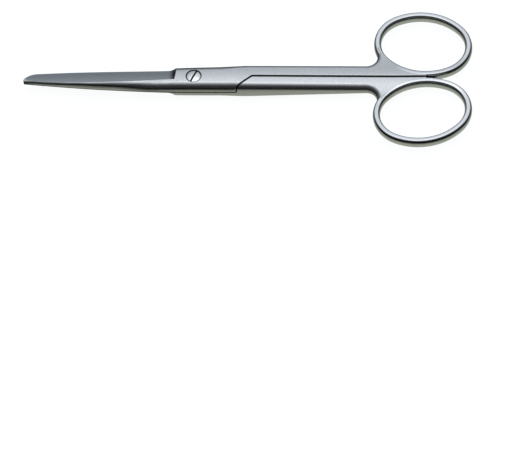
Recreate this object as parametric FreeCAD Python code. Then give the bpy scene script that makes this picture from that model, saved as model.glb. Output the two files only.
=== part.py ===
import FreeCAD, Part
import math
import os
from FreeCAD import Vector

# Dissecting scissors, closed and lying flat. Sizes are in millimetres.
# X runs from the blades (negative) to the finger rings (positive), the pivot axis is X = Y = 0.
# Each half is drawn on its own, with the mating plane at Z = 0 and the cutting edge towards +Y.
# The lower half is then turned over about X, and both are lifted so that the underside is Z = 0.

# Outlines are runs of tangent arcs: a start, a direction there, and the point where each arc ends.
# Seen from above, the side runs straight from the neck to the joint and arches to the blade's base
NECK_POINT = (43.0, 3.78)
JOINT_POINT = (15.0, 3.70)
BLADE_BASE = (-8.0, 3.35)

# The upper blade's cutting edge and back, from the base to the blunt tip
EDGE_DIRECTION = (-1.0, -0.001)
EDGE_ARC_ENDS = [(-24.0, 3.30), (-40.6, 2.80), (-44.15, 0.40)]
BACK_ARC_ENDS = [(-43.95, -0.22)]
# The lower blade stays this far inside the upper one's outline
TUCK = 0.06

# Seen from the side: height of a half's outer face above the mating plane.
# The joint is flat, the blade falls away to the tip and the shank tapers to the level of the web.
JOINT_HEIGHT = 2.40
JOINT_START_X = -2.0
BLADE_HEIGHT_ARCS = [(-11.0, 2.04), (-20.0, 1.62), (-34.0, 1.40), (-40.5, 1.20), (-44.9, 0.50)]
TAPER_START_X = 10.0
TAPER_END_X = 51.5
WEB_HEIGHT = 1.31
TAPER_BLEND = 4.3

# Play between the two halves
MATING_PLAY = 0.04
SHANK_GAP = 0.30

# Step where the joint plate ends and the other shank rises to full height
STEP_START_X = 15.0
STEP_END_X = 10.6
STEP_GAP = 0.26
STEP_GAP_AT_SIDE = 0.42
STEP_CORNER_RADIUS = 0.40

# Bevel ground along the cutting edge, and the hollow where the grinding wheel ran out
BEVEL_ANGLE = 16.0
BEVEL_WIDTH = 4.1
EDGE_LAND = 0.24
BEVEL_RUN_ON = 1.2
SHOULDER_LEAN = 15.0
RUN_OUT_RADIUS = 2.3
RUN_OUT_TURN = 80.0

# Inner face of each blade, hollow ground between its edge and its back: where the hollow starts and
# ends, how deep it gets half way, and where the blade's middle lies at its end
HOLLOW_START_X = -11.0
HOLLOW_END_X = -41.0
HOLLOW_DEPTH = 0.12
HOLLOW_RADIUS = 17.0
BLADE_MIDDLE_Y = 0.85

# Finger ring: a forged bar bent to a tilted oval of four arcs. Its section is widest half way up,
# leans in to the shoulders and has a narrow flat at top and bottom.
RING_CENTRE_X = 58.75
RING_SEMI_LENGTH = 11.80
RING_SEMI_WIDTH = 9.63
RING_END_RADIUS = 8.5
RING_TILT = 12.6
RING_BAR_WIDTH = 1.86
RING_BAR_HALF_HEIGHT = 1.32
RING_SHOULDER_WIDTH = 1.00
RING_SHOULDER_DROP = 0.18
RING_FLAT_WIDTH = 0.44
NECK_RADIUS = 3.0
WEB_INSET = 0.01
WEB_END_Y = 9.5

# Edge rounding
TIP_ROUNDING = 0.75
JOINT_ROUNDING = 1.75
SHANK_ROUNDING = 1.12
SHANK_INNER_ROUNDING = 1.48
DIVIDING_ROUNDING = 0.32

# Pivot screw: flush slotted head, shoulder that turns in the upper half, end held in the lower half
HEAD_DIAMETER = 3.75
HEAD_HEIGHT = 0.95
HEAD_CROWN = 0.20
HEAD_GAP = 0.08
SHOULDER_DIAMETER = 2.60
SHOULDER_CLEARANCE = 0.03
SHANK_DIAMETER = 2.20
SHANK_CLEARANCE = 0.02
SLOT_WIDTH = 0.48
SLOT_DEPTH = 0.50
SLOT_TURN = 66.0
RIM_CHAMFER = 0.12

# Cutting edge of the lower blade: its direction at the base
LOWER_EDGE_DIRECTION = (-1.0, -0.0405)

# Half-lengths of the cutting tools, larger than anything they cut
TALL = 6.0
FAR = 80.0


def vector(point, z=0.0):
    return Vector(point[0], point[1], z)


def mirrored(points):
    return [(x, -y) for x, y in points]


def tangent_arcs(start, direction, ends):
    # A smooth run of arcs: each one starts in the direction in which the last one ended
    edges = []
    here = vector(start)
    heading = vector(direction).normalize()
    for point in ends:
        there = vector(point)
        chord = there - here
        left = Vector(-heading.y, heading.x, 0)
        offset = chord.dot(left)
        radius = chord.dot(chord) / (2 * offset)
        centre = here + left * radius
        middle = centre + (here + chord / 2 - centre).normalize() * abs(radius)
        edges.append(Part.Arc(here, middle, there).toShape())
        unit = chord.normalize()
        heading = unit * (2 * heading.dot(unit)) - heading
        here = there
    return edges


def polyline(corners):
    return [Part.makeLine(a, b) for a, b in zip(corners[:-1], corners[1:])]


def joined(edges):
    return Part.Wire(Part.__sortEdges__(edges))


def prism(wire, low, high):
    face = Part.Face(wire)
    face.translate(Vector(0, 0, low))
    return face.extrude(Vector(0, 0, high - low))


def polygon_prism(points, low, high):
    corners = [vector(point) for point in points]
    return prism(Part.makePolygon(corners + corners[:1]), low, high)


def ring_oval(offset):
    # Four tangent arcs at a given distance outside the ring's centre line, still level and centred
    length = RING_SEMI_LENGTH + offset
    width = RING_SEMI_WIDTH + offset
    small = RING_END_RADIUS + offset
    large = ((length - small) ** 2 + width ** 2 - small ** 2) / (2 * (width - small))
    end_centre = Vector(length - small, 0, 0)
    side_centre = Vector(0, width - large, 0)
    joint = side_centre + (end_centre - side_centre).normalize() * large
    corners = [Vector(a * joint.x, b * joint.y, 0) for a, b in ((1, 1), (-1, 1), (-1, -1), (1, -1))]
    middles = [Vector(0, width, 0), Vector(-length, 0, 0), Vector(0, -width, 0), Vector(length, 0, 0)]
    ends = corners[1:] + corners[:1]
    return Part.Wire([Part.Arc(a, b, c).toShape() for a, b, c in zip(corners, middles, ends)])


def tilted_oval(offset):
    oval = ring_oval(offset)
    oval.rotate(Vector(0, 0, 0), Vector(0, 0, 1), -RING_TILT)
    return oval


def ring_reach():
    # How far the ring's outer wall reaches from its centre towards the dividing face, and where along X
    oval = tilted_oval(RING_BAR_WIDTH / 2)
    plane = Part.makeLine(Vector(-FAR, -FAR, 0), Vector(FAR, -FAR, 0))
    distance, pairs, support = oval.distToShape(plane)
    contact = pairs[0][0]
    return -contact.y, contact.x


def placed_oval(offset):
    oval = tilted_oval(offset)
    oval.translate(Vector(RING_CENTRE_X, SHANK_GAP / 2 + ring_reach()[0], 0))
    return oval


def ring_contact_x():
    return RING_CENTRE_X + ring_reach()[1]


def finger_ring():
    # Bar between two stacks of ovals that widen from the flats to the middle of the bar
    shoulder_z = RING_BAR_HALF_HEIGHT - RING_SHOULDER_DROP
    widths = [(RING_BAR_HALF_HEIGHT, RING_FLAT_WIDTH), (shoulder_z, RING_SHOULDER_WIDTH), (0, RING_BAR_WIDTH),
              (-shoulder_z, RING_SHOULDER_WIDTH), (-RING_BAR_HALF_HEIGHT, RING_FLAT_WIDTH)]
    sides = []
    for sign in (1, -1):
        ovals = []
        for z, width in widths:
            oval = placed_oval(sign * width / 2)
            oval.translate(Vector(0, 0, z))
            ovals.append(oval)
        sides.append(Part.makeLoft(ovals, True, True))
    outside, opening = sides
    return outside.cut(opening)


def side_outline(sign):
    # Side of the shank and joint, from the neck to the blade's base, north (1) or south (-1)
    neck, joint, base = [Vector(x, sign * y, 0) for x, y in (NECK_POINT, JOINT_POINT, BLADE_BASE)]
    return [Part.makeLine(neck, joint)] + tangent_arcs(joint, joint - neck, [base])


def blade_and_shank_outline(edge, back):
    # Edge and back are runs of arcs from the blade's base to its tip; the back goes on from the side
    neck_x, neck_y = NECK_POINT
    end_x = ring_contact_x()
    edge_direction, edge_ends = edge
    cutting_edge = tangent_arcs(BLADE_BASE, edge_direction, edge_ends)
    south_side = side_outline(-1)
    base = south_side[-1]
    base_direction = base.tangentAt(base.LastParameter)
    blade_back = tangent_arcs(base.valueAt(base.LastParameter), base_direction, back)
    tip = [Part.makeLine(vector(edge_ends[-1]), vector(back[-1]))]
    tail = polyline([Vector(neck_x, -neck_y, 0), Vector(end_x, -neck_y, 0),
                     Vector(end_x, neck_y, 0), Vector(neck_x, neck_y, 0)])
    return joined(cutting_edge + tip + blade_back + south_side + side_outline(1) + tail)


def is_upright_at(edge, x, y):
    box = edge.BoundBox
    upright = box.XLength < 0.001 and box.YLength < 0.001
    return upright and (x is None or abs(box.XMin - x) < 0.01) and abs(box.YMin - y) < 0.01


def with_neck(solid):
    # Concave blend between the shank's side and the finger ring
    neck_x, neck_y = NECK_POINT
    corners = [edge for edge in solid.Edges
               if is_upright_at(edge, None, neck_y) and neck_x + 1 < edge.BoundBox.XMin < ring_contact_x() - 1]
    return solid.makeFillet(NECK_RADIUS, corners)


def step_cutter():
    # Everything beyond the joint plate on the other shank's side
    gap = SHANK_GAP / 2
    side = NECK_POINT[1]
    slope = (STEP_START_X - STEP_END_X) / side
    beyond = (STEP_END_X - slope, -side - 1.0)
    return polygon_prism([(STEP_START_X, gap), beyond, (FAR, beyond[1]), (FAR, gap)], -TALL, TALL)


def joint_cutter():
    # Room below the mating plane for the other half's joint plate and blade
    gap = SHANK_GAP / 2
    side = NECK_POINT[1]
    start = STEP_START_X + STEP_GAP
    finish = STEP_END_X + STEP_GAP_AT_SIDE
    slope = (start - finish) / side
    beyond = (finish - slope, side + 1.0)
    corners = [(start, gap), beyond, (-FAR, beyond[1]), (-FAR, -beyond[1]), (start, -beyond[1])]
    return polygon_prism(corners, -TALL, MATING_PLAY / 2)


def side_view():
    # Upper line of the side view, drawn in the XY plane: blade, flat joint, taper, level web
    joint = (JOINT_START_X, JOINT_HEIGHT)
    edges = tangent_arcs(joint, (-1.0, 0.0), BLADE_HEIGHT_ARCS)
    fall = (JOINT_HEIGHT - WEB_HEIGHT) / (TAPER_END_X - TAPER_START_X)
    stops = [(TAPER_START_X - TAPER_BLEND, JOINT_HEIGHT), (TAPER_START_X + TAPER_BLEND, JOINT_HEIGHT - fall * TAPER_BLEND),
             (TAPER_END_X - TAPER_BLEND, WEB_HEIGHT + fall * TAPER_BLEND), (TAPER_END_X + TAPER_BLEND, WEB_HEIGHT)]
    edges.append(Part.makeLine(vector(joint), vector(stops[0])))
    edges += tangent_arcs(stops[0], (1.0, 0.0), [stops[1]])
    edges.append(Part.makeLine(vector(stops[1]), vector(stops[2])))
    edges += tangent_arcs(stops[2], (1.0, -fall), [stops[3]])
    edges.append(Part.makeLine(vector(stops[3]), Vector(FAR, WEB_HEIGHT, 0)))
    return edges


def thickness_slab():
    # The side view, as thick as the pair is at each place along X, stood up
    upper = side_view()
    under = []
    for edge in upper:
        turned = edge.copy()
        turned.rotate(Vector(0, 0, 0), Vector(1, 0, 0), 180)
        under.append(turned)
    tip_x, tip_height = BLADE_HEIGHT_ARCS[-1]
    ends = [Part.makeLine(Vector(x, height, 0), Vector(x, -height, 0))
            for x, height in ((tip_x, tip_height), (FAR, WEB_HEIGHT))]
    slab = prism(joined(upper + under + ends), -FAR, FAR)
    slab.rotate(Vector(0, 0, 0), Vector(1, 0, 0), 90)
    return slab


def bevel_cutter(edge_ends):
    # Flat ground face rising from the cutting edge, with a concave run-out towards the joint
    start = vector(BLADE_BASE)
    along = vector(edge_ends[-2] if len(edge_ends) > 1 else edge_ends[-1]) - start
    turn = math.degrees(math.atan2(-along.y, -along.x))
    radius = RUN_OUT_RADIUS
    sweep = math.radians(RUN_OUT_TURN)
    finish = Vector(radius * math.sin(sweep), 0, radius * (1 - math.cos(sweep)))
    middle = Vector(radius * math.sin(sweep / 2), 0, radius * (1 - math.cos(sweep / 2)))
    arc = Part.Arc(Vector(0, 0, 0), middle, finish).toShape()
    frame = polyline([finish, Vector(finish.x, 0, TALL), Vector(-FAR, 0, TALL), Vector(-FAR, 0, 0),
                      Vector(0, 0, 0)])
    wheel = Part.Face(joined([arc] + frame))
    wheel.translate(Vector(0, -2 * TALL, 0))
    wheel = wheel.extrude(Vector(0, 3 * TALL, 0))
    wheel.rotate(Vector(0, 0, 0), Vector(1, 0, 0), -BEVEL_ANGLE)

    # The wheel's flank leaves a steep shoulder where the blade is still thick
    foot_z = BEVEL_WIDTH * math.tan(math.radians(BEVEL_ANGLE))
    lean = math.tan(math.radians(SHOULDER_LEAN))
    corners = [Vector(-FAR, -BEVEL_WIDTH + (foot_z + TALL) * lean, -TALL),
               Vector(-FAR, -BEVEL_WIDTH - (TALL - foot_z) * lean, TALL),
               Vector(-FAR, TALL, TALL), Vector(-FAR, TALL, -TALL)]
    flank = Part.Face(Part.makePolygon(corners + corners[:1]))
    cutter = wheel.common(flank.extrude(Vector(2 * FAR, 0, 0)))
    cutter.rotate(Vector(0, 0, 0), Vector(0, 0, 1), turn)
    start -= along.normalize() * BEVEL_RUN_ON
    cutter.translate(Vector(start.x, start.y, EDGE_LAND))
    return cutter


def hollow_cutter(middle_y):
    # Barrel that only touches the inner face at both ends and sinks into it half way
    half_length = (HOLLOW_START_X - HOLLOW_END_X) / 2
    ends = [Vector(half_length, HOLLOW_RADIUS, 0), Vector(half_length, 0, 0), Vector(-half_length, 0, 0),
            Vector(-half_length, HOLLOW_RADIUS, 0)]
    belly = Part.Arc(ends[3], Vector(0, HOLLOW_RADIUS + HOLLOW_DEPTH, 0), ends[0]).toShape()
    barrel = Part.Face(joined(polyline(ends) + [belly])).revolve(Vector(0, 0, 0), Vector(1, 0, 0), 360)
    turn = math.degrees(math.atan2(-middle_y, 2 * half_length))
    barrel.rotate(Vector(0, 0, 0), Vector(0, 0, 1), turn)
    middle_x = (HOLLOW_START_X + HOLLOW_END_X) / 2
    barrel.translate(Vector(middle_x, middle_y / 2, MATING_PLAY / 2 - HOLLOW_RADIUS))
    return barrel


def outer_edge(solid, x, y_low, y_high, sign):
    # The edge of the outer face (upper for sign 1, under for sign -1) that passes X between two Y values
    for edge in solid.Edges:
        box = edge.BoundBox
        on_face = box.ZMin > 0.3 if sign > 0 else box.ZMax < -0.3
        if on_face and box.XMin < x < box.XMax and y_low < box.YMin and box.YMax < y_high:
            return edge
    raise ValueError("no outer edge at X = %s" % x)


def rounded(solid, edge, radius_low_x, radius_high_x):
    # Rounds the whole run that the edge belongs to; the radius changes along this edge only
    first, last = edge.Vertexes[0].X, edge.Vertexes[-1].X
    radii = (radius_low_x, radius_high_x) if first < last else (radius_high_x, radius_low_x)
    return solid.makeFillet(radii[0], radii[1], [edge]).Solids[0]


def half(edge, back, middle_y):
    body = prism(blade_and_shank_outline(edge, back), -TALL, TALL)
    web = prism(placed_oval(RING_BAR_WIDTH / 2 - WEB_INSET), -TALL, TALL)
    body = with_neck(body.fuse(web).removeSplitter())
    body = body.cut(step_cutter())
    corner = [item for item in body.Edges if is_upright_at(item, STEP_START_X, SHANK_GAP / 2)]
    body = body.makeFillet(STEP_CORNER_RADIUS, corner)
    body = body.cut(joint_cutter())
    contact_x = ring_contact_x()
    kept = Part.makeBox(contact_x + FAR, FAR + WEB_END_Y, 2 * TALL, Vector(-FAR, -FAR, -TALL))
    body = body.common(kept).common(thickness_slab()).Solids[0]

    # Blade back and joint first, then the bevel, then the shank's outer sides and dividing edges
    body = rounded(body, outer_edge(body, -15.0, -4.5, 0.5, 1), TIP_ROUNDING, JOINT_ROUNDING)
    body = body.cut(bevel_cutter(edge[1])).Solids[0]
    body = rounded(body, outer_edge(body, 8.0, 3.0, 4.5, 1), JOINT_ROUNDING, SHANK_ROUNDING)
    body = rounded(body, outer_edge(body, 30.0, 3.0, 4.5, -1), SHANK_INNER_ROUNDING, SHANK_INNER_ROUNDING)
    for sign in (1, -1):
        body = rounded(body, outer_edge(body, 30.0, 0.1, 0.5, sign), DIVIDING_ROUNDING, DIVIDING_ROUNDING)

    # The web ends inside the ring's bar
    body = body.cut(hollow_cutter(middle_y)).Solids[0]
    body = body.cut(prism(placed_oval(0.0), -TALL, TALL)).Solids[0]
    return body.fuse(finger_ring()).Solids[0]


def upper_half():
    body = half((EDGE_DIRECTION, EDGE_ARC_ENDS), BACK_ARC_ENDS, BLADE_MIDDLE_Y)
    body.translate(Vector(0, 0, JOINT_HEIGHT))
    top = 2 * JOINT_HEIGHT
    bore = Part.makeCylinder(SHOULDER_DIAMETER / 2 + SHOULDER_CLEARANCE, top)
    recess_radius = HEAD_DIAMETER / 2 + HEAD_GAP
    recess = Part.makeCylinder(recess_radius, HEAD_HEIGHT + TALL, Vector(0, 0, top - HEAD_HEIGHT - MATING_PLAY))
    rim = Part.makeCone(recess_radius, recess_radius + RIM_CHAMFER, RIM_CHAMFER, Vector(0, 0, top - RIM_CHAMFER))
    return body.cut(bore).cut(rim).cut(recess)


def lower_half():
    # The same half turned over; its edge lies under the upper blade's back and its back under the edge
    edge_ends = [(x, y - TUCK) for x, y in mirrored(BACK_ARC_ENDS)]
    back = [(x, y + TUCK) for x, y in mirrored(EDGE_ARC_ENDS)]
    body = half((LOWER_EDGE_DIRECTION, edge_ends), back, -BLADE_MIDDLE_Y)
    body.rotate(Vector(0, 0, 0), Vector(1, 0, 0), 180)
    body.translate(Vector(0, 0, JOINT_HEIGHT))
    hole_radius = SHANK_DIAMETER / 2 + SHANK_CLEARANCE
    hole = Part.makeCylinder(hole_radius, 2 * TALL, Vector(0, 0, -TALL))
    rim = Part.makeCone(hole_radius + RIM_CHAMFER, hole_radius, RIM_CHAMFER)
    return body.cut(hole).cut(rim)


def pivot_screw():
    top = 2 * JOINT_HEIGHT
    seat = JOINT_HEIGHT - MATING_PLAY / 2
    head_radius = HEAD_DIAMETER / 2
    shoulder_radius = SHOULDER_DIAMETER / 2
    shank_radius = SHANK_DIAMETER / 2
    rim_z = top - HEAD_CROWN
    profile = polyline([Vector(0, 0, top), Vector(0, 0, 0), Vector(shank_radius - RIM_CHAMFER, 0, 0),
                        Vector(shank_radius, 0, RIM_CHAMFER), Vector(shank_radius, 0, seat),
                        Vector(shoulder_radius, 0, seat), Vector(shoulder_radius, 0, top - HEAD_HEIGHT),
                        Vector(head_radius, 0, top - HEAD_HEIGHT), Vector(head_radius, 0, rim_z - RIM_CHAMFER),
                        Vector(head_radius - RIM_CHAMFER, 0, rim_z)])
    crown_x = (head_radius - RIM_CHAMFER) / 2
    crown = Part.Arc(Vector(head_radius - RIM_CHAMFER, 0, rim_z),
                     Vector(crown_x, 0, top - HEAD_CROWN / 4), Vector(0, 0, top)).toShape()
    screw = Part.Face(joined(profile + [crown])).revolve(Vector(0, 0, 0), Vector(0, 0, 1), 360)
    slot = Part.makeBox(2 * TALL, SLOT_WIDTH, TALL, Vector(-TALL, -SLOT_WIDTH / 2, top - SLOT_DEPTH))
    slot.rotate(Vector(0, 0, 0), Vector(0, 0, 1), SLOT_TURN)
    return screw.cut(slot)


def main():
    os.makedirs("parts", exist_ok=True)
    nodes = {"upper_half": upper_half, "lower_half": lower_half, "pivot_screw": pivot_screw}
    for name, make in nodes.items():
        shape = make()
        solid = shape.Solids[0]
        print(name, len(shape.Solids), solid.isValid(), round(solid.Volume, 1))
        solid.exportStep("parts/" + name + ".step")


main()
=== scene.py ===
"""Looks for the dissecting scissors: satin steel, a white table and soft overhead light."""
import math

import bpy
from mathutils import Matrix, Vector


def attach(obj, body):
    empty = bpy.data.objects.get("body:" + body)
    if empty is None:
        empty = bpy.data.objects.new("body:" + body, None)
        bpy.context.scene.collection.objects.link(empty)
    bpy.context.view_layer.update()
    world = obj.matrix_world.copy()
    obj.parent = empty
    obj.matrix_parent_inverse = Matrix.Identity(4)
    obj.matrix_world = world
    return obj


MM = 0.001

# Camera: where the pivot shows in the picture, and from where it is seen
PICTURE = (510, 466)
PIVOT_PIXEL = (193.56, 75.74)
AZIMUTH = math.radians(6.93)
ELEVATION = math.radians(51.05)
DISTANCE = 1.158
PIVOT_POINT = Vector((0.0, 0.0, 4.8 * MM))
MILLIMETRES_PER_PIXEL = 0.2568
SENSOR_WIDTH = 36.0
ROLL = math.radians(-6.03)

# Places and sizes on the part that the finishes and the ring skins follow, as the solids have them.
# The joint ends at the step on the outer side, and the grain turns round the ring between two places.
RING_CENTRE_X = 58.75 * MM
SHANK_GAP = 0.30 * MM
RING_SEMI_LENGTH = 11.80 * MM
RING_SEMI_WIDTH = 9.63 * MM
RING_END_RADIUS = 8.50 * MM
RING_TILT = math.radians(12.6)
RING_BAR_WIDTH = 1.86 * MM
RING_BAR_HALF_HEIGHT = 1.32 * MM
MATING_HEIGHT = 2.40 * MM
JOINT_TOP = 4.80 * MM
JOINT_END_X = 10.9 * MM
STEP_SLANT = 0.4 * MM
RING_GRAIN_START = 47.0 * MM
RING_GRAIN_FULL = 52.0 * MM
RING_GRAIN_RADIUS = 10.0 * MM

# Skin over each finger ring: how far it stands off the solid bar at the sides and at the top, the arcs
# of its section, and how finely they and the oval are divided
SKIN_THICKNESS = 0.008 * MM
SKIN_RISE = 0.012 * MM
SKIN_EDGE_RADIUS = 0.50 * MM
SKIN_SIDE_RADIUS = 2.6 * MM
SKIN_SIDE_STEPS = 6
SKIN_EDGE_STEPS = 7
OVAL_STEPS = 48

# Steel: its lightest and darkest tone, the screw's tone and the colour of painted shade in crevices, the
# slot and the joint
STEEL_DARK = (0.440, 0.448, 0.458, 1)
STEEL_LIGHT = (0.640, 0.648, 0.656, 1)
SCREW_STEEL = (0.72, 0.72, 0.72, 1)
PAINTED_SHADE = (0.030, 0.028, 0.026, 1)

# Painted shade: how deep a crevice darkens and how steeply, then along the joint between the halves and
# in the screw's slot
CREVICE_DEPTH = 0.9 * MM
CREVICE_CONTRAST = 1.5
PARTING_SHADE = 0.9
PARTING_SHADE_NEAR = 0.12 * MM
PARTING_SHADE_FAR = 0.36 * MM
SLOT_SHADE = 0.92
SLOT_SHADE_DEEP = 0.42 * MM
SLOT_SHADE_SHALLOW = 0.24 * MM

# Grain of the satin finish as length and width of a streak, and the size of a blasted grain and a cloud
FINE_GRAIN = (1.6 * MM, 0.045 * MM)
STREAKS = (8.0 * MM, 0.25 * MM)
BLASTED_GRAIN = 0.22 * MM
CLOUD = 7.0 * MM
TURNING_MARK = 0.05 * MM

# How much each of them adds to the roughness, the tone and the relief
SATIN_ROUGHNESS = 0.225
SCREW_ROUGHNESS = 0.17
STREAK_ROUGHNESS = 0.10
CLOUD_ROUGHNESS = 0.08
SPECKLE_TONE = 0.6
STREAK_TONE = 0.4
BLASTED_RELIEF = 1.6
RELIEF = 0.0012 * MM
SCREW_RELIEF = 0.001 * MM
EDGE_SOFTNESS = 0.09 * MM
SCREW_EDGE_SOFTNESS = 0.06 * MM

# The rings are polished smoother by handling: their roughness as a share of the rest, and their steel
# painted lighter by a share, to brighten their highlights
RING_POLISH = 0.55
RING_PAINTED_LIGHTENING = 1.15

# Crowned faces: how much steeper they get with each metre to the outside, and how far out that goes on
CROWN_CURVE = 46.0
CROWN_REACH = 4.5 * MM

# Back of the blade: its steepest slope, where and over what width it rolls over, and where along the
# blade this begins and is complete
BACK_SLOPE = 0.85
BACK_START_Y = -0.85 * MM
BACK_WIDTH = 1.0 * MM
BACK_START_X = -9.0 * MM
BACK_FULL_X = -22.0 * MM

# Table: its own tone under the lamps, its white, and a painted reflection: the colour it glows with in
# the metal, and from how near to how far that glow fades out
TABLE_HALF_SIZE = 2.5
TABLE_COLOUR = (0.17, 0.21, 0.24, 1)
TABLE_GLOW = 0.935
TABLE_PAINTED_REFLECTION = (0.52, 0.55, 0.46, 1)
PAINTED_REFLECTION_NEAR = 2.5 * MM
PAINTED_REFLECTION_FAR = 9.0 * MM

# Light: brightness of the sky by the angle from its brightest point, in degrees
SKY_BY_ANGLE = [(180, 0.03), (75, 0.04), (60, 0.08), (50, 0.19), (40, 0.40), (30, 0.66),
                (20, 0.94), (10, 1.10), (0, 1.15)]
SKY_TINT = (0.950, 0.985, 1.035)
SKY_AXIS_ELEVATION = math.radians(72.0)

# Cooler light from the side away from the camera, and a broad lamp above the table on that side
NORTH_FILL = 0.235
FILL_TINT = (0.82, 0.98, 1.12)
SOFTBOX_PLACE = (0.0, 0.27, 0.86)
SOFTBOX_SIZE = (0.5, 0.34)
SOFTBOX_POWER = 0.40


class Nodes:
    """Short way to add and join nodes of one tree."""

    def __init__(self, tree):
        self.tree = tree
        tree.nodes.clear()

    def add(self, kind, inputs=None, **settings):
        node = self.tree.nodes.new("ShaderNode" + kind)
        for name, value in settings.items():
            setattr(node, name, value)
        for name, value in (inputs or {}).items():
            self.feed(node.inputs[name], value)
        return node

    def feed(self, socket, value):
        if isinstance(value, bpy.types.NodeSocket):
            self.tree.links.new(value, socket)
        else:
            socket.default_value = value

    def math(self, operation, first, second=0.0, third=0.0, clamp=False):
        node = self.add("Math", {0: first, 1: second, 2: third}, operation=operation, use_clamp=clamp)
        return node.outputs[0]

    def combine(self, x, y, z):
        return self.add("CombineXYZ", {"X": x, "Y": y, "Z": z}).outputs[0]

    def noise(self, vector, scale, detail=2.0, roughness=0.5):
        inputs = {"Vector": vector, "Scale": scale, "Detail": detail, "Roughness": roughness}
        return self.add("TexNoise", inputs).outputs["Fac"]

    def span(self, value, low, high, to_low, to_high):
        inputs = {"Value": value, "From Min": low, "From Max": high, "To Min": to_low, "To Max": to_high}
        return self.add("MapRange", inputs, interpolation_type="SMOOTHSTEP").outputs[0]


def new_material(name):
    material = bpy.data.materials.new(name)
    material.use_nodes = True
    return material, Nodes(material.node_tree)


def distance(nodes, dx, dy):
    square = nodes.math("ADD", nodes.math("MULTIPLY", dx, dx), nodes.math("MULTIPLY", dy, dy))
    return nodes.math("SQRT", square)


def grain_coordinates(nodes, side):
    # Along the blades and shanks the grain runs lengthwise, and round the finger ring it follows the bar
    place = nodes.add("SeparateXYZ", {0: nodes.add("TexCoord").outputs["Object"]}).outputs
    x, y, z = place["X"], place["Y"], place["Z"]
    dx = nodes.math("SUBTRACT", x, RING_CENTRE_X)
    dy = nodes.math("SUBTRACT", y, ring_centre_y() * side)
    angle = nodes.math("ARCTAN2", dy, dx)
    radius = distance(nodes, dx, dy)
    lengthwise = nodes.combine(x, y, z)
    around = nodes.combine(nodes.math("MULTIPLY", angle, RING_GRAIN_RADIUS), radius, z)
    in_ring = nodes.span(x, RING_GRAIN_START, RING_GRAIN_FULL, 0.0, 1.0)
    return lengthwise, around, in_ring


def grain(nodes, coordinates, size):
    # Streaks of a given length and width, in metres
    length, width = size
    lengthwise, around, in_ring = coordinates
    values = []
    for vector in (lengthwise, around):
        stretched = nodes.add("Mapping", {"Vector": vector, "Scale": (1 / length, 1 / width, 1 / width)})
        values.append(nodes.noise(stretched.outputs[0], 1.0))
    difference = nodes.math("SUBTRACT", values[1], values[0])
    return nodes.math("MULTIPLY_ADD", difference, in_ring, values[0])


def mix_colour(nodes, factor, first, second):
    mix = nodes.add("MixRGB", {"Fac": factor, "Color1": first, "Color2": second})
    return mix.outputs[0]


def finish_metal(nodes, colour, roughness, bump_height, bump_distance, edge_radius):
    # Metal with softened edges, fine relief and painted shade darkening its crevices, found by ambient
    # occlusion
    crevice = nodes.add("AmbientOcclusion", {"Distance": CREVICE_DEPTH}, samples=8).outputs["AO"]
    unshaded = nodes.math("POWER", crevice, CREVICE_CONTRAST)
    edge = nodes.add("Bevel", {"Radius": edge_radius}, samples=6)
    bump_inputs = {
        "Strength": 1.0,
        "Distance": bump_distance,
        "Height": bump_height,
        "Normal": edge.outputs[0],
    }
    shader_inputs = {
        "Base Color": mix_colour(nodes, unshaded, PAINTED_SHADE, colour),
        "Metallic": 1.0,
        "Roughness": roughness,
        "Normal": nodes.add("Bump", bump_inputs).outputs[0],
    }
    shader = nodes.add("BsdfPrincipled", shader_inputs)
    output = nodes.add("OutputMaterial")
    nodes.tree.links.new(shader.outputs[0], output.inputs["Surface"])


def parting_line(nodes, z):
    # Painted shade in the joint between the halves, only where the line meets the outside
    height = nodes.math("ABSOLUTE", nodes.math("SUBTRACT", z, MATING_HEIGHT))
    near = nodes.span(height, PARTING_SHADE_NEAR, PARTING_SHADE_FAR, 1.0, 0.0)
    normal = nodes.add("SeparateXYZ", {0: nodes.add("NewGeometry").outputs["Normal"]}).outputs["Z"]
    upright = nodes.span(nodes.math("ABSOLUTE", normal), 0.5, 0.8, 1.0, 0.0)
    return nodes.math("MULTIPLY", near, upright)


def crown(nodes, y):
    # Height of the faces, which are ground slightly convex from one side of the closed pair to the other
    out = nodes.math("MULTIPLY", y, 1 / CROWN_REACH)
    fade = nodes.math("EXPONENT", nodes.math("MULTIPLY", nodes.math("MULTIPLY", out, out), -1.0))
    return nodes.math("MULTIPLY", fade, CROWN_CURVE * CROWN_REACH ** 2 / 2)


def rounded_back(nodes, x, out):
    # Height of the blade's outer face, which rolls over from the ridge of the bevel to the back
    amount = nodes.span(x, BACK_FULL_X, BACK_START_X, BACK_SLOPE, 0.0)
    past = nodes.math("MAXIMUM", nodes.math("SUBTRACT", BACK_START_Y, out), 0.0)
    near = nodes.math("MINIMUM", past, BACK_WIDTH)
    curved = nodes.math("MULTIPLY", nodes.math("MULTIPLY", near, near), 0.5 / BACK_WIDTH)
    fall = nodes.math("ADD", curved, nodes.math("SUBTRACT", past, near))
    return nodes.math("MULTIPLY", nodes.math("MULTIPLY", fall, amount), -1.0)


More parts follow.
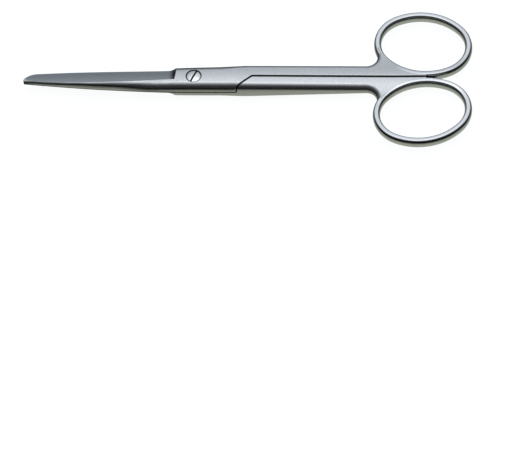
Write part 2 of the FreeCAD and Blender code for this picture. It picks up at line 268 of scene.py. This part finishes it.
def satin_steel(name, side, polish=1.0, painted_lightening=1.0):
    # Satin finish: fine grain along the piece over a blasted ground, with faint clouds of handling
    material, nodes = new_material(name)
    coordinates = grain_coordinates(nodes, side)
    place = nodes.add("TexCoord").outputs["Object"]
    fine = grain(nodes, coordinates, FINE_GRAIN)
    streaks = grain(nodes, coordinates, STREAKS)
    blasted = nodes.noise(place, 1 / BLASTED_GRAIN, 2.0, 0.7)
    clouds = nodes.noise(place, 1 / CLOUD, 3.0)
    roughness = nodes.math("MULTIPLY_ADD", streaks, STREAK_ROUGHNESS, SATIN_ROUGHNESS)
    roughness = nodes.math("MULTIPLY_ADD", clouds, CLOUD_ROUGHNESS, roughness)
    roughness = nodes.math("MULTIPLY", roughness, polish)

    speckle = nodes.span(blasted, 0.32, 0.68, 0.0, 1.0)
    streak_tone = nodes.math("MULTIPLY", streaks, STREAK_TONE)
    lightness = nodes.math("MULTIPLY_ADD", speckle, SPECKLE_TONE, streak_tone)
    tone = mix_colour(nodes, lightness, STEEL_DARK, STEEL_LIGHT)
    # Painted highlight: the ring copies of the steel are made lighter so their highlights show brighter
    tone = nodes.add("VectorMath", {0: tone, "Scale": painted_lightening}, operation="SCALE").outputs[0]
    apart = nodes.add("SeparateXYZ", {0: place}).outputs
    # Painted shade along the joint between the halves, as far as the step
    in_joint = nodes.span(apart["X"], JOINT_END_X - STEP_SLANT, JOINT_END_X + STEP_SLANT, 1.0, 0.0)
    parting_shade = nodes.math("MULTIPLY", parting_line(nodes, apart["Z"]), in_joint)
    tone = mix_colour(nodes, nodes.math("MULTIPLY", parting_shade, PARTING_SHADE), tone, PAINTED_SHADE)

    out = nodes.math("MULTIPLY", apart["Y"], side)
    shape = nodes.math("ADD", crown(nodes, apart["Y"]), rounded_back(nodes, apart["X"], out))
    relief = nodes.math("MULTIPLY_ADD", blasted, BLASTED_RELIEF, fine)
    relief = nodes.math("MULTIPLY_ADD", shape, 1 / RELIEF, relief)
    finish_metal(nodes, tone, roughness, relief, RELIEF, EDGE_SOFTNESS)
    return material


def turned_steel(name):
    # Brighter steel with turning marks about the screw's axis and painted shade darkening the slot
    material, nodes = new_material(name)
    place = nodes.add("SeparateXYZ", {0: nodes.add("TexCoord").outputs["Object"]}).outputs
    radius = distance(nodes, place["X"], place["Y"])
    marks = nodes.noise(nodes.combine(nodes.math("MULTIPLY", radius, 1 / TURNING_MARK), 0.0, 0.0), 1.0)
    roughness = nodes.math("MULTIPLY_ADD", marks, STREAK_ROUGHNESS, SCREW_ROUGHNESS)
    # Painted shade in the slot, darkest towards its floor
    in_slot = nodes.span(place["Z"], JOINT_TOP - SLOT_SHADE_DEEP, JOINT_TOP - SLOT_SHADE_SHALLOW, 1.0, 0.0)
    tone = mix_colour(nodes, nodes.math("MULTIPLY", in_slot, SLOT_SHADE), SCREW_STEEL, PAINTED_SHADE)
    finish_metal(nodes, tone, roughness, marks, SCREW_RELIEF, SCREW_EDGE_SOFTNESS)
    return material


def oval_points(offset):
    # Four tangent arcs at a given distance outside the bar's centre line, level and centred
    length = RING_SEMI_LENGTH + offset
    width = RING_SEMI_WIDTH + offset
    small = RING_END_RADIUS + offset
    large = ((length - small) ** 2 + width ** 2 - small ** 2) / (2 * (width - small))
    end_centre = Vector((length - small, 0))
    side_centre = Vector((0, width - large))
    joint = (end_centre - side_centre).normalized()
    split = math.atan2(joint.y, joint.x)
    arcs = [
        (end_centre, small, -split, split),
        (side_centre, large, split, math.pi - split),
        (-end_centre, small, math.pi - split, math.pi + split),
        (-side_centre, large, math.pi + split, 2 * math.pi - split),
    ]
    points = []
    for centre, radius, start, end in arcs:
        for step in range(OVAL_STEPS):
            angle = start + (end - start) * step / OVAL_STEPS
            points.append(centre + radius * Vector((math.cos(angle), math.sin(angle))))
    return points


def barrel_section():
    # Section of the bar, from its widest point round: a bulging side, a tight edge and a narrow flat
    half_width = RING_BAR_WIDTH / 2 + SKIN_THICKNESS
    half_height = RING_BAR_HALF_HEIGHT + SKIN_RISE
    rise = half_height - SKIN_EDGE_RADIUS
    reach = SKIN_SIDE_RADIUS - SKIN_EDGE_RADIUS
    side_x = half_width - SKIN_SIDE_RADIUS
    edge_x = side_x + math.sqrt(reach ** 2 - rise ** 2)
    meet = math.asin(rise / reach)
    quarter = []
    for step in range(SKIN_SIDE_STEPS):
        angle = meet * step / SKIN_SIDE_STEPS
        quarter.append((side_x + SKIN_SIDE_RADIUS * math.cos(angle), SKIN_SIDE_RADIUS * math.sin(angle)))
    for step in range(SKIN_EDGE_STEPS + 1):
        angle = meet + (math.pi / 2 - meet) * step / SKIN_EDGE_STEPS
        along = edge_x + SKIN_EDGE_RADIUS * math.cos(angle)
        quarter.append((along, rise + SKIN_EDGE_RADIUS * math.sin(angle)))
    section = quarter + [(-x, z) for x, z in reversed(quarter)]
    return section + [(-x, -z) for x, z in quarter[1:]] + [(x, -z) for x, z in reversed(quarter[1:])]


def ring_centre_y():
    # The ring's outside comes down to the gap between the halves
    turn = Matrix.Rotation(-RING_TILT, 2)
    return SHANK_GAP / 2 + max((turn @ point).y for point in oval_points(RING_BAR_WIDTH / 2))


def ring_skin(name, body, side, material):
    # Rounded surface of a finger ring, swept over the plainer bar of the solid
    section = barrel_section()
    turn = Matrix.Rotation(-RING_TILT, 2)
    centre_y = ring_centre_y()
    vertices = []
    for offset, height in section:
        for point in oval_points(offset):
            flat = turn @ point
            vertices.append((flat.x + RING_CENTRE_X, side * (flat.y + centre_y), MATING_HEIGHT + height))
    around = len(vertices) // len(section)
    faces = []
    for row in range(len(section)):
        next_row = (row + 1) % len(section)
        for column in range(around):
            next_column = (column + 1) % around
            face = (row * around + column, row * around + next_column,
                    next_row * around + next_column, next_row * around + column)
            faces.append(face if side > 0 else face[::-1])
    mesh = bpy.data.meshes.new(name)
    mesh.from_pydata(vertices, [], faces)
    mesh.polygons.foreach_set("use_smooth", [True] * len(faces))
    mesh.materials.append(material)
    skin = bpy.data.objects.new(name, mesh)
    bpy.context.scene.collection.objects.link(skin)
    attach(skin, body)


def dress(node, material):
    mesh = node.data
    if not mesh.materials:
        mesh.materials.append(material)
    for slot in node.material_slots:
        slot.material = material


def white_table():
    mesh = bpy.data.meshes.new("table")
    half = TABLE_HALF_SIZE
    corners = [(-half, -half, 0), (half, -half, 0), (half, half, 0), (-half, half, 0)]
    mesh.from_pydata(corners, [], [(0, 1, 2, 3)])
    table = bpy.data.objects.new("table", mesh)
    bpy.context.scene.collection.objects.link(table)
    material, nodes = new_material("white_table")
    path = nodes.add("LightPath").outputs
    mirrored = nodes.math("MAXIMUM", path["Is Glossy Ray"], path["Is Transmission Ray"])
    # Painted reflection: for reflected rays the table glows, brightest close to the metal and fading out
    # with distance
    near = nodes.span(path["Ray Length"], PAINTED_REFLECTION_NEAR, PAINTED_REFLECTION_FAR, 1.0, 0.0)
    strength = nodes.math("MAXIMUM", path["Is Camera Ray"], nodes.math("MULTIPLY", mirrored, near))
    glow_colour = mix_colour(nodes, path["Is Camera Ray"], TABLE_PAINTED_REFLECTION, (1, 1, 1, 1))
    lit_colour = mix_colour(nodes, mirrored, TABLE_COLOUR, (0, 0, 0, 1))
    lit = nodes.add("BsdfDiffuse", {"Color": lit_colour})
    glow_strength = nodes.math("MULTIPLY", strength, TABLE_GLOW)
    glow = nodes.add("Emission", {"Color": glow_colour, "Strength": glow_strength})
    both = nodes.add("AddShader")
    nodes.tree.links.new(lit.outputs[0], both.inputs[0])
    nodes.tree.links.new(glow.outputs[0], both.inputs[1])
    output = nodes.add("OutputMaterial")
    nodes.tree.links.new(both.outputs[0], output.inputs["Surface"])
    mesh.materials.append(material)


def studio_sky():
    # Brightest above the table, fading to a dim room at the horizon
    world = bpy.data.worlds.new("studio")
    world.use_nodes = True
    bpy.context.scene.world = world
    nodes = Nodes(world.node_tree)
    direction = nodes.add("TexCoord").outputs["Generated"]
    axis = Vector((0, math.cos(SKY_AXIS_ELEVATION), math.sin(SKY_AXIS_ELEVATION)))
    towards = nodes.add("VectorMath", {0: direction, 1: axis}, operation="DOT_PRODUCT").outputs["Value"]
    ramp = nodes.add("ValToRGB", {"Fac": nodes.math("MULTIPLY_ADD", towards, 0.5, 0.5)})
    elements = ramp.color_ramp.elements
    elements.remove(elements[1])
    for index, (angle, value) in enumerate(SKY_BY_ANGLE):
        position = math.cos(math.radians(angle)) * 0.5 + 0.5
        element = elements[0] if index == 0 else elements.new(position)
        element.position = position
        element.color = (value, value, value, 1)
    north = nodes.add("SeparateXYZ", {0: direction}).outputs["Y"]
    fill = nodes.math("MULTIPLY", nodes.math("MAXIMUM", north, 0.0), NORTH_FILL)
    sky = nodes.add("VectorMath", {0: SKY_TINT, "Scale": ramp.outputs[0]}, operation="SCALE").outputs[0]
    north_light = nodes.add("VectorMath", {0: FILL_TINT, "Scale": fill}, operation="SCALE").outputs[0]
    light = nodes.add("VectorMath", {0: sky, 1: north_light}, operation="ADD").outputs[0]
    background = nodes.add("Background", {"Color": light, "Strength": 1.0})
    output = nodes.add("OutputWorld")
    nodes.tree.links.new(background.outputs[0], output.inputs["Surface"])


def softbox(name, place, size, power):
    lamp = bpy.data.lights.new(name, "AREA")
    lamp.shape = "RECTANGLE"
    lamp.size, lamp.size_y = size
    lamp.energy = power
    box = bpy.data.objects.new(name, lamp)
    box.location = place
    box.rotation_euler = (-Vector(place)).to_track_quat("-Z", "Y").to_euler()
    bpy.context.scene.collection.objects.link(box)


def camera():
    focal_pixels = DISTANCE / (MILLIMETRES_PER_PIXEL * MM)
    data = bpy.data.cameras.new("camera")
    data.sensor_width = SENSOR_WIDTH
    data.lens = SENSOR_WIDTH * focal_pixels / PICTURE[0]
    view = bpy.data.objects.new("camera", data)
    bpy.context.scene.collection.objects.link(view)
    level = math.cos(ELEVATION)
    away = Vector((level * math.sin(AZIMUTH), -level * math.cos(AZIMUTH), math.sin(ELEVATION)))
    place = PIVOT_POINT + DISTANCE * away
    towards_pivot = (PIVOT_POINT - place).to_track_quat("-Z", "Y")
    across = (PIVOT_PIXEL[0] - PICTURE[0] / 2) / focal_pixels
    up = (PICTURE[1] / 2 - PIVOT_PIXEL[1]) / focal_pixels
    off_centre = Vector((across, up, -1)).rotation_difference(Vector((0, 0, -1)))
    turn = towards_pivot.to_matrix() @ Matrix.Rotation(ROLL, 3, "Z") @ off_centre.to_matrix()
    view.matrix_world = Matrix.Translation(place) @ turn.to_4x4()
    bpy.context.scene.camera = view


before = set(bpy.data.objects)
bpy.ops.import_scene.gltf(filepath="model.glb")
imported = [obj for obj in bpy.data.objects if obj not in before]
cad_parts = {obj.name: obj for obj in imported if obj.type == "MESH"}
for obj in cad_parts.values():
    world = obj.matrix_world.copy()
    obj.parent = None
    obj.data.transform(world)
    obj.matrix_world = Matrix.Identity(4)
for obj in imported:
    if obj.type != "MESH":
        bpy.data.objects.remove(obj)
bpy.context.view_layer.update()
bpy.context.scene.view_settings.view_transform = "Standard"
upper_steel = satin_steel("upper_satin_steel", 1)
lower_steel = satin_steel("lower_satin_steel", -1)
dress(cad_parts["upper_half"], upper_steel)
dress(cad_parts["lower_half"], lower_steel)
dress(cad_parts["pivot_screw"], turned_steel("turned_screw_steel"))
upper_ring_steel = satin_steel("upper_ring_steel", 1, RING_POLISH, RING_PAINTED_LIGHTENING)
lower_ring_steel = satin_steel("lower_ring_steel", -1, RING_POLISH, RING_PAINTED_LIGHTENING)
ring_skin("upper_ring_skin", "upper", 1, upper_ring_steel)
ring_skin("lower_ring_skin", "lower", -1, lower_ring_steel)
white_table()
studio_sky()
softbox("softbox", SOFTBOX_PLACE, SOFTBOX_SIZE, SOFTBOX_POWER)
camera()
